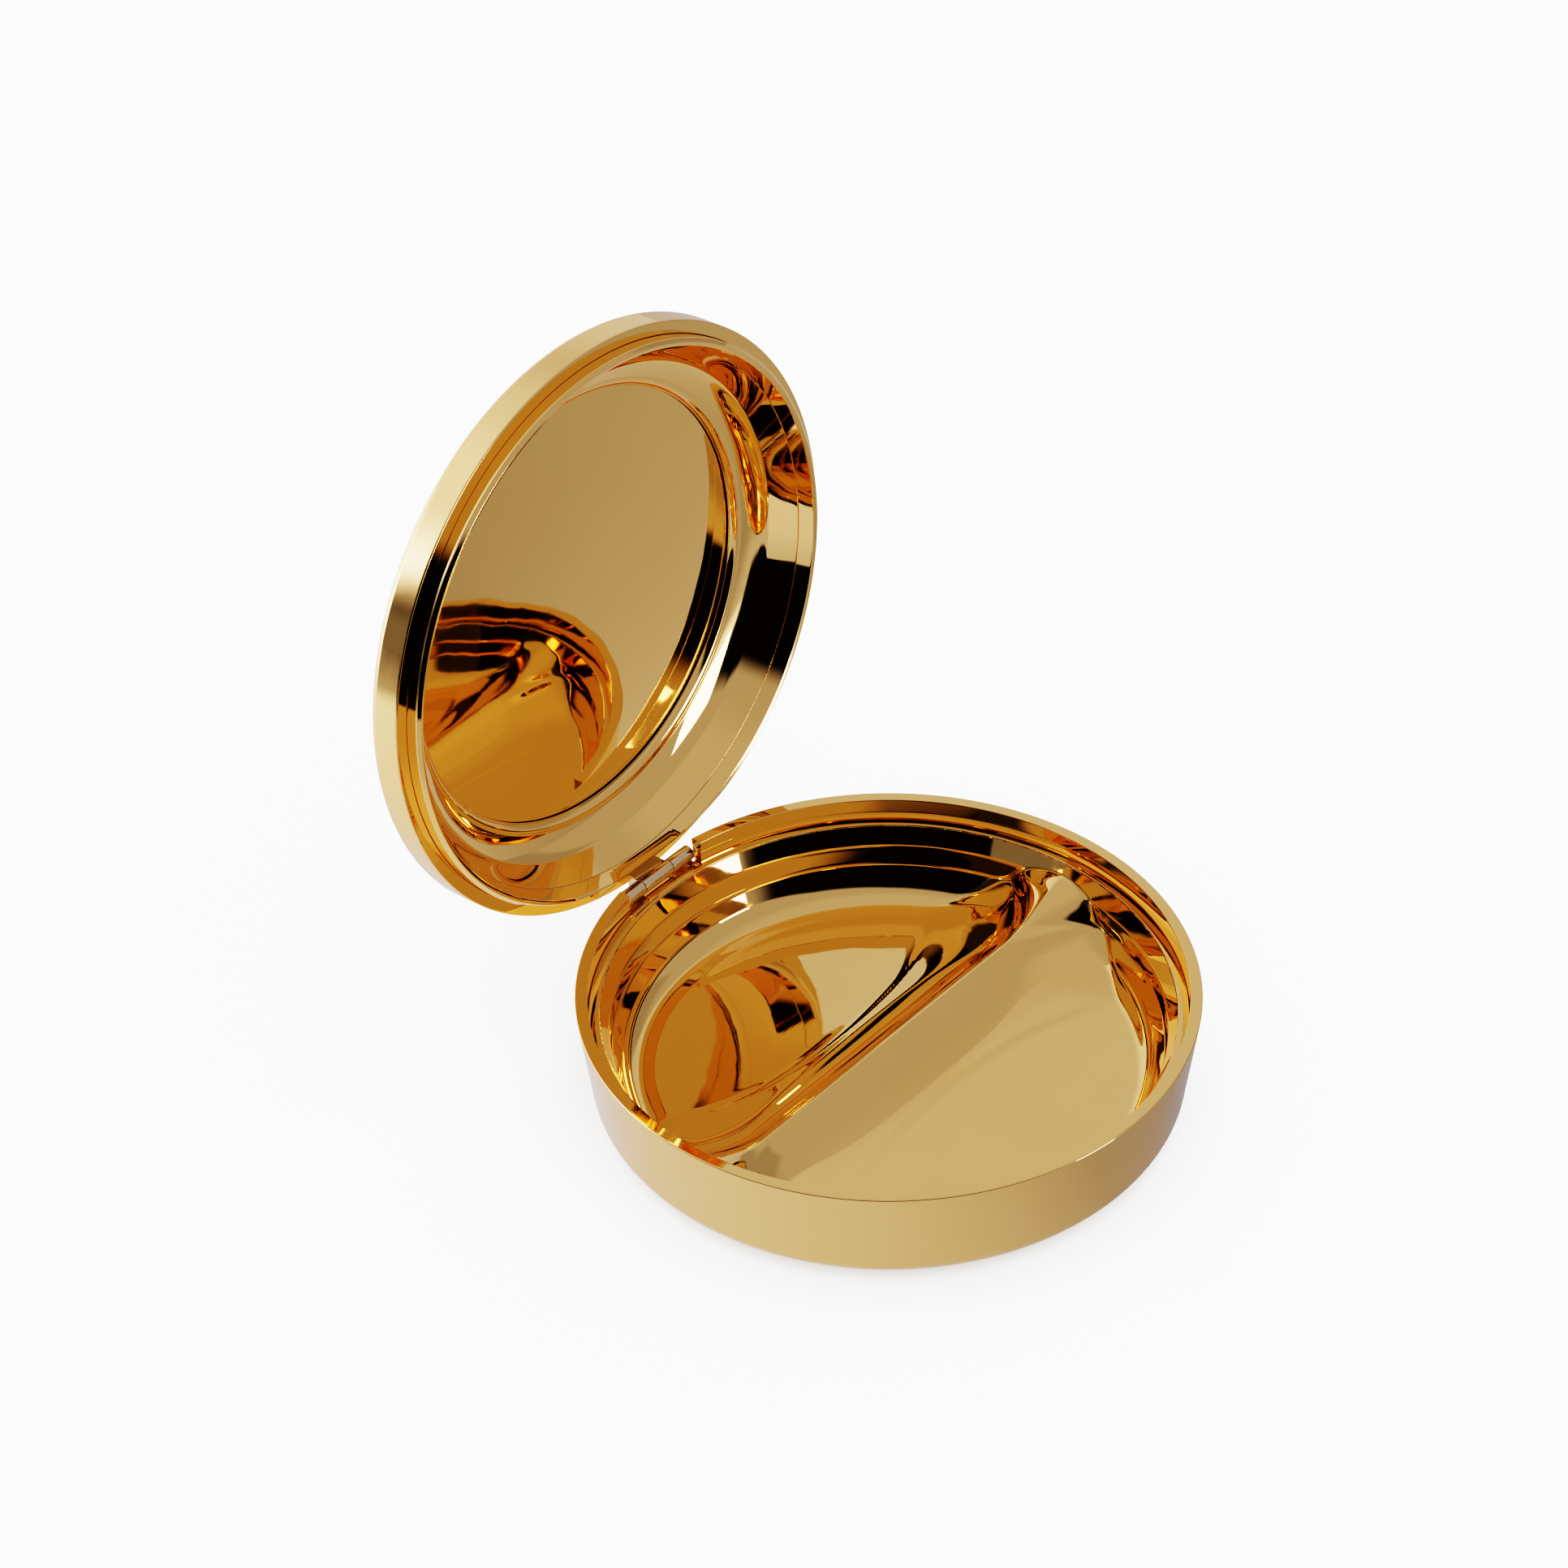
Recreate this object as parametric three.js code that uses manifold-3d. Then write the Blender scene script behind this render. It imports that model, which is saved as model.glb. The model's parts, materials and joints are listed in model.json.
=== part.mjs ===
// Round hinged host box with a divided dish, standing open on its base.
// Units are millimetres, +Z is up. The origin is the centre of the underside of the base.
// The hinge line runs along X on the +Y side, and the dividing ridge runs along X through the centre.

import * as THREE from 'three';
import { mergeVertices } from 'three/addons/utils/BufferGeometryUtils.js';
import Module from 'manifold-3d';

const wasm = await Module();
wasm.setup();

// ---- driving dimensions -------------------------------------------------------------------
const RADIUS = 45;              // outer radius of base and lid at the parting line
const SIDES = 48;               // facets round every large turned piece
const GAP = 0.3;                // clearance kept between pieces that touch

const CASE_HEIGHT = 17.2;       // underside to rim
const CASE_FOOT_RADIUS = 37.2;  // flat underside
const CASE_LOW_RADIUS = 43.2;   // bottom of the tapered wall
const CASE_LOW_HEIGHT = 3.8;
const CASE_FLOOR = 1.0;
const RIM_INNER_RADIUS = 43.16;

const LEDGE_HEIGHT = 13.8;      // top edge of the dish, where the lid's lip comes down
const DISH_RADIUS = 41.6;       // inner wall of the dish
const DISH_FLOOR = 2.2;
const DISH_SHEET = 0.9;
const DISH_FLOOR_EDGE = 35.4;   // where the cove rises from the flat floor
const DISH_COVE_BEND = [37.6, 3.0];   // the point that the cove bends towards
const DISH_CONE_FOOT = [38.7, 5.0];   // where the cove runs into a cone
const DISH_STEP = [40, 7.6];    // the line between the cone and a steep band
const DISH_FLARE = [40.15, 10.6];     // the line where the wall flares out to the ledge
const UNDERSIDE_FILLET = 6;     // fillet round the foot of the sheet's hidden side

const RIDGE_CREST = 7.5;        // height of the crest at mid span
const RIDGE_FILLET = 4.0;       // soft corner between a flank and the floor
const RIDGE_END_FILLET = 12;    // large fillet where the ridge runs into the wall
const RIDGE_END_TOP = 12.6;     // height up to which the ridge's ends climb the wall
const CREST_ROUND = 0.5;

const LID_WALL = 4.0;           // straight part of the lid's outer wall
const LID_HEIGHT = 8.4;         // rim to crown
const LID_CROWN_RADIUS = 27.4;  // flat middle of the crown
const LID_DISC_DEPTH = 7.5;     // rim to the edge of the disc inside
const LID_DISC_RADIUS = 33.2;
const LID_DISC_SWELL = 0.9;     // the disc bulges towards the rim by this much at its centre
const LID_COVE_DEPTH = 6.2;
const LID_COVE_RADIUS = 34.8;   // top of the rolled edge, where the cove begins
const LID_COVE_BEND = [38, 5.05];     // the point that the cove bends towards
const LID_CONE = [38.6, 3.95];  // where the cove runs into a straight cone
const LID_RIM_GAP = 0.15;       // rim to rim when shut

const LIP_OUTER = 42.9;
const LIP_INNER = 40.7;
const LIP_LEAN = 1.05;          // the lip's inner face leans out by this much to its edge
const LIP_DROP = 2.3;           // how far the lip reaches below the lid's rim
const LIP_SEAT = 0.8;           // how far the lip ring sits up inside the lid

const HINGE_Y = 44.5;
const HINGE_Z = 14.66;
const KNUCKLE_RADIUS = 1.2;
const BORE_RADIUS = 0.65;
const PIN_RADIUS = 0.6;
const LID_KNUCKLE_HALF = 3.0;
const KNUCKLE_GAP = 0.2;
const KNUCKLE_END = 7.6;
const NOTCH_HALF = 8.0;
const NOTCH_SILL = 13.1;
const OPEN_ANGLE = THREE.MathUtils.degToRad(94);

// ---- materials ----------------------------------------------------------------------------
function metal(color, roughness) {
  return new THREE.MeshStandardMaterial({ color, roughness, metalness: 1 });
}
const goldPlate = () => metal(0xd9a441, 0.08);
const hingeMetal = () => metal(0xb9a06a, 0.18);

// ---- outlines -----------------------------------------------------------------------------
// Points of a quarter ellipse about (r, z) from angle start to end, in degrees.
function arc(r, z, width, height, start, end, steps) {
  return Array.from({ length: steps + 1 }, (_, i) => {
    const angle = THREE.MathUtils.degToRad(start + (end - start) * i / steps);
    return [r + width * Math.cos(angle), z + height * Math.sin(angle)];
  });
}

// Points of a curve from start to end that leaves and arrives in line with the bend point.
function bend(start, middle, end, steps) {
  return Array.from({ length: steps + 1 }, (_, i) => {
    const t = i / steps;
    return [0, 1].map((k) => start[k] * (1 - t) ** 2 + 2 * middle[k] * t * (1 - t) + end[k] * t ** 2);
  });
}

// Turns an outline of [radius, height] points, given anticlockwise, about Z.
function turn(outline) {
  const points = outline.map(([r, z]) => new THREE.Vector2(r, z));
  return new THREE.LatheGeometry(points, SIDES).rotateX(Math.PI / 2);
}

// Turns an outline that doesn't reach the axis, and closes it on itself.
function turnRing(outline) {
  return turn([...outline, outline[0]]);
}

// ---- joining and cutting ------------------------------------------------------------------
function toSolid(geometry) {
  const plain = geometry.clone();
  plain.deleteAttribute('normal');
  plain.deleteAttribute('uv');
  const merged = mergeVertices(plain, 1e-4);
  const index = Array.from(merged.index.array);
  const triangles = [];
  for (let i = 0; i < index.length; i += 3) {
    const [a, b, c] = index.slice(i, i + 3);
    if (a !== b && b !== c && c !== a) triangles.push(a, b, c);
  }
  const mesh = new wasm.Mesh({
    numProp: 3,
    vertProperties: new Float32Array(merged.attributes.position.array),
    triVerts: new Uint32Array(triangles),
  });
  return new wasm.Manifold(mesh);
}

function toGeometry(solid) {
  const mesh = solid.getMesh();
  const geometry = new THREE.BufferGeometry();
  const positions = new Float32Array(mesh.vertProperties);
  geometry.setAttribute('position', new THREE.BufferAttribute(positions, 3));
  geometry.setIndex(new THREE.BufferAttribute(new Uint32Array(mesh.triVerts), 1));
  return geometry;
}

function block([x0, x1], [y0, y1], [z0, z1]) {
  const box = new THREE.BoxGeometry(x1 - x0, y1 - y0, z1 - z0);
  return toSolid(box.translate((x0 + x1) / 2, (y0 + y1) / 2, (z0 + z1) / 2));
}

// A rod along the hinge line.
function hingeRod(radius, x0, x1) {
  const rod = new THREE.CylinderGeometry(radius, radius, x1 - x0, 16).rotateZ(Math.PI / 2);
  return toSolid(rod.translate((x0 + x1) / 2, HINGE_Y, HINGE_Z));
}

// ---- base ---------------------------------------------------------------------------------
// Spun outer case: a low drum with a rounded foot, cut away at the back for the hinge.
function baseCase() {
  const cornerWidth = CASE_LOW_RADIUS - CASE_FOOT_RADIUS;
  const wall = 0.8;
  const outline = [
    [0, 0],
    ...arc(CASE_FOOT_RADIUS, CASE_LOW_HEIGHT, cornerWidth, CASE_LOW_HEIGHT, -90, 0, 6),
    [RADIUS, CASE_HEIGHT],
    [RIM_INNER_RADIUS, CASE_HEIGHT],
    [RIM_INNER_RADIUS, LEDGE_HEIGHT - 1],
    ...caseInside(CASE_LOW_RADIUS - wall, CASE_FLOOR, 6),
    [0, CASE_FLOOR],
  ];
  const notch = block(
    [-NOTCH_HALF, NOTCH_HALF], [RIM_INNER_RADIUS - 3, RADIUS + 1], [NOTCH_SILL, CASE_HEIGHT + 1]);
  return toGeometry(toSolid(turn(outline)).subtract(notch));
}

// The inner corner of the case from its wall round to its floor.
function caseInside(lowRadius, floor, steps) {
  const width = lowRadius - CASE_FOOT_RADIUS;
  return arc(CASE_FOOT_RADIUS, 4.4, width, 4.4 - floor, 0, -90, steps);
}

// Outlines of the dish's wall, on its face and on its hidden underside.
const FACE_WALL = [
  ...bend([DISH_FLOOR_EDGE, DISH_FLOOR], DISH_COVE_BEND, DISH_CONE_FOOT, 4),
  DISH_STEP, DISH_FLARE, [DISH_RADIUS, LEDGE_HEIGHT],
];
const UNDERSIDE_WALL = [
  [CASE_LOW_RADIUS - 1.4, DISH_FLOOR - DISH_SHEET],
  [RIM_INNER_RADIUS - GAP, LEDGE_HEIGHT],
];

// The smaller of two distances, with a round fillet of the given radius between them.
function roundedMinimum(a, b, radius) {
  const ra = Math.max(radius - a, 0);
  const rb = Math.max(radius - b, 0);
  return Math.max(radius, Math.min(a, b)) - Math.hypot(ra, rb);
}

// Distance above the floor and its ridge, which has 45 degree flanks and a rounded crest.
function ridgedFloorAir(y, z, floor, crest) {
  const across = Math.hypot(y, CREST_ROUND) - CREST_ROUND;
  const ridge = (z - crest + across) * Math.SQRT1_2;
  return roundedMinimum(z - floor, ridge, RIDGE_FILLET);
}

// Fillet between the wall and the floor: wide where the ridge runs in, and next to none elsewhere.
function faceFillet(y, z) {
  const beside = THREE.MathUtils.smoothstep(Math.abs(y), 2, 15);
  const up = THREE.MathUtils.clamp((z - DISH_FLOOR) / (RIDGE_END_TOP - DISH_FLOOR), 0, 1);
  return Math.max(RIDGE_END_FILLET * (1 - beside) * (1 - up ** 6), 0.01);
}

// Distance into the air in front of a turned wall with an outline of [radius, height] points.
function wallAir(outline, r, z) {
  const below = outline.filter(([, height]) => height < z).length;
  const next = THREE.MathUtils.clamp(below, 1, outline.length - 1);
  const [r0, z0] = outline[next - 1];
  const [r1, z1] = outline[next];
  const radius = r0 + (r1 - r0) * (z - z0) / (z1 - z0);
  return (radius - r) * (z1 - z0) / Math.hypot(r1 - r0, z1 - z0);
}

// Air above the polished face of the divided dish.
function faceAir(x, y, z) {
  const wall = wallAir(FACE_WALL, Math.hypot(x, y), z);
  return roundedMinimum(wall, ridgedFloorAir(y, z, DISH_FLOOR, RIDGE_CREST), faceFillet(y, z));
}

// Air above the hidden underside of the divided dish.
function undersideAir(x, y, z) {
  const wall = wallAir(UNDERSIDE_WALL, Math.hypot(x, y), z);
  const crest = RIDGE_CREST - DISH_SHEET * Math.SQRT2;
  return roundedMinimum(wall, ridgedFloorAir(y, z, DISH_FLOOR - DISH_SHEET, crest), UNDERSIDE_FILLET);
}

// Follows a line from the middle of the mouth until it first meets the face.
function meetFace({ x, y, z }, air) {
  const open = (reach) => air(reach * x, reach * y, LEDGE_HEIGHT + reach * z) > 0;
  let near = 0;
  while (open(near + 0.5)) near += 0.5;
  let step = 0.25;
  for (let i = 0; i < 24; i += 1) {
    if (open(near + step)) near += step;
    step /= 2;
  }
  return [near * x, near * y, LEDGE_HEIGHT + near * z];
}

// Steepness of the sight lines through evenly spaced rings of the floor and up an outline.
function sightAngles(floorRings, outline) {
  const [edge, floor] = outline[0];
  const flat = Array.from({ length: floorRings - 1 }, (_, i) => [edge * (i + 1) / floorRings, floor]);
  return [...flat, ...outline].map(([r, z]) => Math.atan2(LEDGE_HEIGHT - z, r));
}

// Outline that rises round the underside's fillet and on up its wall.
function undersideOutline() {
  const [low, high] = UNDERSIDE_WALL;
  const fillet = UNDERSIDE_FILLET;
  return [...arc(low[0] - fillet, low[1] + fillet, fillet, fillet, -90, 0, 4), high];
}

// Pressed dish with two half-round compartments. Both faces are nets of rings about the centre.
function dividedDish() {
  const faces = [
    { air: faceAir, angles: sightAngles(8, FACE_WALL) },
    { air: undersideAir, angles: sightAngles(6, undersideOutline()) },
  ];
  const positions = [];
  const index = [];
  const ringStarts = [];
  for (const { air, angles } of faces) {
    const centre = positions.length / 3;
    positions.push(...meetFace(new THREE.Vector3(0, 0, -1), air));
    for (const angle of angles) {
      for (let k = 0; k < SIDES; k += 1) {
        const round = 2 * Math.PI * k / SIDES;
        const level = Math.cos(angle);
        const direction = new THREE.Vector3(
          level * Math.cos(round), level * Math.sin(round), -Math.sin(angle));
        positions.push(...meetFace(direction, air));
      }
    }
    ringStarts.push({ centre, rings: angles.length });
  }
  const [top, bottom] = ringStarts;
  netFaces(index, top, false);
  netFaces(index, bottom, true);
  const topRim = top.centre + 1 + (top.rings - 1) * SIDES;
  const bottomRim = bottom.centre + 1 + (bottom.rings - 1) * SIDES;
  ringBetween(index, topRim, bottomRim, false);
  const geometry = new THREE.BufferGeometry();
  geometry.setAttribute('position', new THREE.Float32BufferAttribute(positions, 3));
  geometry.setIndex(index);
  return geometry;
}

// Triangles of one face: a fan round its centre, then bands from ring to ring.
function netFaces(index, { centre, rings }, flipped) {
  for (let k = 0; k < SIDES; k += 1) {
    const a = centre + 1 + k;
    const b = centre + 1 + (k + 1) % SIDES;
    index.push(...(flipped ? [centre, b, a] : [centre, a, b]));
  }
  for (let ring = 0; ring < rings - 1; ring += 1) {
    ringBetween(index, centre + 1 + ring * SIDES, centre + 1 + (ring + 1) * SIDES, flipped);
  }
}

// A band of triangles between an inner ring and an outer ring of vertices.
function ringBetween(index, inner, outer, flipped) {
  for (let k = 0; k < SIDES; k += 1) {
    const next = (k + 1) % SIDES;
    const [a, b, c, d] = [inner + k, inner + next, outer + k, outer + next];
    index.push(...(flipped ? [a, b, c, b, d, c] : [a, c, b, b, c, d]));
  }
}

// ---- lid, drawn shut, with heights measured up from its rim --------------------------------
function shutLevel(height) {
  return CASE_HEIGHT + LID_RIM_GAP + height;
}

function atShutLevel(outline) {
  return outline.map(([r, h]) => [r, shutLevel(h)]);
}

// Spun outer shell of the lid: short straight wall, soft shoulder, flat crown, swollen inner disc.
function lidShell() {
  const shoulder = RADIUS - LID_CROWN_RADIUS;
  const inner = RIM_INNER_RADIUS - LID_DISC_RADIUS;
  const outline = atShutLevel([
    [RIM_INNER_RADIUS, 0],
    [RADIUS, 0],
    ...arc(LID_CROWN_RADIUS, LID_WALL, shoulder, LID_HEIGHT - LID_WALL, 0, 90, 7),
    [0, LID_HEIGHT],
    ...swollenDisc(4),
    ...arc(LID_DISC_RADIUS, LID_WALL, inner, LID_DISC_DEPTH - LID_WALL, 90, 0, 6),
  ]);
  return turnRing(outline);
}

// The disc inside the lid, from its centre out to its edge.
function swollenDisc(steps) {
  return Array.from({ length: steps }, (_, i) => {
    const across = i / steps;
    return [LID_DISC_RADIUS * across, LID_DISC_DEPTH - LID_DISC_SWELL * (1 - across ** 2)];
  });
}

// Coved ring inside the lid, with a rolled inner edge round the flat disc.
function lidLiner() {
  const outerWidth = RIM_INNER_RADIUS - GAP - LID_DISC_RADIUS;
  const outerRise = LID_DISC_DEPTH - GAP - LID_WALL;
  const rollWidth = LID_COVE_RADIUS - LID_DISC_RADIUS;
  const rollRise = LID_DISC_DEPTH - GAP - LID_COVE_DEPTH;
  const start = LIP_SEAT + GAP;
  const [coneRadius, coneDepth] = LID_CONE;
  const endRadius = LIP_INNER - (LIP_INNER - coneRadius) * start / coneDepth;
  return turnRing(atShutLevel([
    [RIM_INNER_RADIUS - GAP, start],
    ...arc(LID_DISC_RADIUS, LID_WALL, outerWidth, outerRise, 0, 90, 6),
    ...arc(LID_COVE_RADIUS, LID_COVE_DEPTH + rollRise, rollWidth, rollRise, 180, 270, 3).slice(1),
    ...bend([LID_COVE_RADIUS, LID_COVE_DEPTH], LID_COVE_BEND, LID_CONE, 5).slice(1),
    [endRadius, start],
  ]));
}

// Turned ring that plugs into the base; it is relieved near the hinge so that it can swing out.
function lidLip() {
  const ring = toSolid(turnRing(atShutLevel([
    [LIP_INNER + LIP_LEAN, -LIP_DROP + 0.3],
    [(LIP_INNER + LIP_LEAN + LIP_OUTER) / 2, -LIP_DROP],
    [LIP_OUTER - 0.1, -LIP_DROP + 0.4],
    [LIP_OUTER - 0.04, LIP_SEAT],
    [LIP_INNER, LIP_SEAT],
    [LIP_INNER, 0],
  ])));
  return toGeometry(ring.subtract(lipRelief()));
}

// The space that the base's rim sweeps through the lip, as a turned solid about the hinge line.
function lipRelief() {
  const reach = 27;
  const steps = 12;
  const outline = [new THREE.Vector2(0, -reach)];
  for (let i = 0; i <= steps; i += 1) {
    const x = reach * (2 * i / steps - 1);
    const inward = Math.sqrt(RIM_INNER_RADIUS ** 2 - x * x) - HINGE_Y;
    outline.push(new THREE.Vector2(Math.hypot(inward, CASE_HEIGHT - HINGE_Z) + GAP, x));
  }
  outline.push(new THREE.Vector2(0, reach));
  const sweep = new THREE.LatheGeometry(outline, 32).rotateZ(-Math.PI / 2);
  const whole = toSolid(sweep.translate(0, HINGE_Y, HINGE_Z));
  const belowRim = block([-reach - 1, reach + 1], [0, RADIUS + 5], [0, shutLevel(0)]);
  return whole.intersect(belowRim);
}

// ---- hinge --------------------------------------------------------------------------------
// Base knuckle with a foot that stands on the sill of the notch.
function baseKnuckle(x0, x1) {
  const foot = block([x0, x1], [HINGE_Y - 1.1, HINGE_Y + 0.4], [NOTCH_SILL + GAP, HINGE_Z]);
  const bore = hingeRod(BORE_RADIUS, x0 - 1, x1 + 1);
  return toGeometry(hingeRod(KNUCKLE_RADIUS, x0, x1).add(foot).subtract(bore));
}

// Lid knuckle with a leaf up to the lid's rim; its outer face is the heel that stops the lid.
function lidKnuckle() {
  const half = LID_KNUCKLE_HALF;
  const leaf = block(
    [-half, half], [HINGE_Y - 1.0, HINGE_Y + KNUCKLE_RADIUS], [HINGE_Z, shutLevel(-GAP)]);
  const bore = hingeRod(BORE_RADIUS, -half - 1, half + 1);
  return toGeometry(hingeRod(KNUCKLE_RADIUS, -half, half).add(leaf).subtract(bore));
}

// Pin with domed ends, along X through all the knuckles.
function hingePin() {
  const end = KNUCKLE_END;
  const dome = arc(0, 0, PIN_RADIUS, 0.3, 0, 90, 3);
  const outline = [
    ...dome.map(([r, h]) => new THREE.Vector2(r, -end - h)).reverse(),
    ...dome.map(([r, h]) => new THREE.Vector2(r, end + h)),
  ];
  outline[0].x = 0;
  outline[outline.length - 1].x = 0;
  return new THREE.LatheGeometry(outline, 16).rotateZ(Math.PI / 2).translate(0, HINGE_Y, HINGE_Z);
}

// ---- assembly -----------------------------------------------------------------------------
function piece(name, geometry, material) {
  const mesh = new THREE.Mesh(geometry, material);
  mesh.name = name;
  return mesh;
}

const base = new THREE.Group();
const knuckleStart = LID_KNUCKLE_HALF + KNUCKLE_GAP;
base.add(
  piece('base_case', baseCase(), goldPlate()),
  piece('divided_dish', dividedDish(), goldPlate()),
  piece('hinge_knuckle_left', baseKnuckle(-KNUCKLE_END, -knuckleStart), hingeMetal()),
  piece('hinge_knuckle_right', baseKnuckle(knuckleStart, KNUCKLE_END), hingeMetal()),
  piece('hinge_pin', hingePin(), hingeMetal()),
);

// The lid turns about the hinge line: the inner group moves that line to the origin.
const lidParts = new THREE.Group();
lidParts.position.set(0, -HINGE_Y, -HINGE_Z);
lidParts.add(
  piece('lid_shell', lidShell(), goldPlate()),
  piece('lid_liner', lidLiner(), goldPlate()),
  piece('lid_lip', lidLip(), goldPlate()),
  piece('hinge_knuckle_lid', lidKnuckle(), hingeMetal()),
);
const lid = new THREE.Group();
lid.position.set(0, HINGE_Y, HINGE_Z);
lid.rotation.x = -OPEN_ANGLE;
lid.add(lidParts);

const hostBox = new THREE.Group();
hostBox.add(base, lid);

export default hostBox;
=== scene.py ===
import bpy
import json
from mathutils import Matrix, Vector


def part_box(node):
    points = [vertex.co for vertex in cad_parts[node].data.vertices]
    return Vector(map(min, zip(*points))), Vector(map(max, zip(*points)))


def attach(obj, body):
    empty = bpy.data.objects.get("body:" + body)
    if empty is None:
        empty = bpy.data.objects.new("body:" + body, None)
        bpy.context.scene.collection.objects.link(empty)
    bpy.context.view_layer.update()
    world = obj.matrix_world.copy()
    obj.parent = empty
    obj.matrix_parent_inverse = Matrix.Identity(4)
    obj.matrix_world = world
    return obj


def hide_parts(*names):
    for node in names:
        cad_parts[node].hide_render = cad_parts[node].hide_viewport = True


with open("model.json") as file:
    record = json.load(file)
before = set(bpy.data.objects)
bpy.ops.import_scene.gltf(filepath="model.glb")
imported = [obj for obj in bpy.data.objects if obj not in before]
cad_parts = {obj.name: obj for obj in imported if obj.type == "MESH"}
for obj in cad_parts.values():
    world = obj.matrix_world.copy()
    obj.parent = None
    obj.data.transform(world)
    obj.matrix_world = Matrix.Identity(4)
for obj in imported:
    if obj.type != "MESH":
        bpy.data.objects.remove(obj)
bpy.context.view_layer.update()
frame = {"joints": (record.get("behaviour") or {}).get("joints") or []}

"""Fine surfaces, metals and light for a round hinged host box that stands open.

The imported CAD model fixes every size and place. Each of its faceted nodes is replaced by a smooth
piece of the same shape. Lengths are in metres. The hinge line runs along X on the +Y side.
"""

import json
import math

import bmesh
import bpy
import numpy as np
from mathutils import Matrix, Vector

MM = 0.001
FULL_TURN = 2 * math.pi

# ---- sizes read from the frame --------------------------------------------------------------
CASE_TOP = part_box("base_case")[1]
RADIUS = CASE_TOP.x                     # outer radius at the parting line
RIM = CASE_TOP.z                        # height of the base's rim
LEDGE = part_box("divided_dish")[1].z     # top edge of the dish
HINGE = frame["joints"][0]
AXIS = Vector(HINGE["pos_m"])           # a point on the hinge line
OPEN = math.radians(HINGE["range_deg"][1])
KNUCKLE_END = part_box("hinge_knuckle_right")[1].x
LID_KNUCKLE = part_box("hinge_knuckle_lid")[1].x
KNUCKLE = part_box("hinge_knuckle_right")[1].z - AXIS.z
PIN_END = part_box("hinge_pin")[1].x
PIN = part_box("hinge_pin")[1].z - AXIS.z

# ---- sizes that the frame doesn't state, as in the CAD source --------------------------------
RIM_INSIDE = 43.16 * MM
FOOT = 37.2 * MM                        # radius of the flat underside
LOW_WALL = 43.2 * MM                    # radius at the bottom of the tapered wall
LOW_WALL_HEIGHT = 3.8 * MM
SILL = 13.1 * MM
NOTCH = 8.0 * MM                        # half width of the hinge notch

DISH = 41.6 * MM
DISH_FLOOR = 2.2 * MM
SHEET = 0.9 * MM
FLOOR_RISE = 0.35 * MM                  # the floor is very slightly hollow towards its edge
FLOOR_FLAT = 6.0 * MM                   # radius of the floor's flat middle
FLOOR_EDGE = 35.4 * MM                  # where the cove rises from the floor
COVE_BEND = (37.6 * MM, 3.0 * MM)       # the point that the cove bends towards
CONE_FOOT = (38.7 * MM, 5.0 * MM)       # where the cove runs into a cone
STEP = (40.0 * MM, 7.6 * MM)            # the line between the cone and a steep band
FLARE = (40.15 * MM, 10.6 * MM)         # the line where the wall flares out to the ledge
STEP_ROUND = 2.2 * MM                   # softness of those two lines
CREASE = 0.4 * MM                       # softness of the line round the floor
EDGE_ROUND = 0.15 * MM                  # round of the dish's top edge
CREST = 7.5 * MM                        # height of the ridge
CREST_ROUND = 0.5 * MM
RIDGE_FILLET = 4.0 * MM                 # soft corner between a flank and the floor
RIDGE_END_FILLET = 12.0 * MM            # wide fillet where the ridge runs into the wall
RIDGE_END_TOP = 12.6 * MM               # height up to which the ridge's ends climb the wall

LID_RIM = RIM + 0.15 * MM               # height of the lid's rim when shut
LID_WALL = 4.0 * MM                     # straight part of the lid's outer wall
LID_CROWN = 8.38 * MM                   # a hair lower than in the CAD, to stay inside its box
CROWN_FLAT = 27.4 * MM
DISC = 33.2 * MM
DISC_DEPTH = 7.5 * MM
DISC_SWELL = 0.9 * MM                   # the disc bulges towards the rim at its centre
COVE = 34.8 * MM                        # top of the rolled edge, where the lid's cove begins
COVE_DEPTH = 6.2 * MM
COVE_PULL = (38.0 * MM, 5.05 * MM)      # the point that the cove bends towards
CONE = (38.6 * MM, 3.95 * MM)           # where the cove runs into a straight cone
LIP_OUTSIDE = 42.9 * MM
LIP_INSIDE = 40.7 * MM
LIP_DROP = 2.3 * MM
LIP_LEAN = 1.05 * MM                    # the lip's inner face leans out by this much to its edge

HAIRLINE = 0.04 * MM                    # joint between fitted pieces
SEGMENTS = 288                          # round a turned piece


# ---- outlines of turned pieces ---------------------------------------------------------------
def arc(r, z, width, height, start, end, steps=16):
    """Points of an elliptical arc about (r, z), from start to end in degrees."""
    turns = np.radians(np.linspace(start, end, steps + 1))
    return [(r + width * math.cos(t), z + height * math.sin(t)) for t in turns]


def softened(corner, before, after, radius, steps=6):
    """A sharp corner of an outline as a small round, tangent to both of its sides."""
    c, a, b = Vector(corner), Vector(before), Vector(after)
    u, v = (a - c).normalized(), (b - c).normalized()
    half = math.acos(max(-1, min(1, u.dot(v)))) / 2
    setback = radius / math.tan(half)
    middle = c + (u + v).normalized() * (radius / math.sin(half))
    first, last = c + u * setback - middle, c + v * setback - middle
    sweep = first.angle_signed(last)
    return [tuple(middle + Matrix.Rotation(-sweep * i / steps, 2) @ first) for i in range(steps + 1)]


def outline(*parts, soft=0.12 * MM):
    """Joins points and arcs into one outline. A part ("round", point) is softened."""
    flat = []
    for part in parts:
        if isinstance(part, list):
            flat += [(p, 0) for p in part]
        elif part[0] == "round":
            flat.append((part[1], part[2] if len(part) > 2 else soft))
        else:
            flat.append((part, 0))
    points = []
    for i, (point, radius) in enumerate(flat):
        if radius:
            points += softened(point, flat[i - 1][0], flat[(i + 1) % len(flat)][0], radius)
        else:
            points.append(point)
    return points


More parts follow.
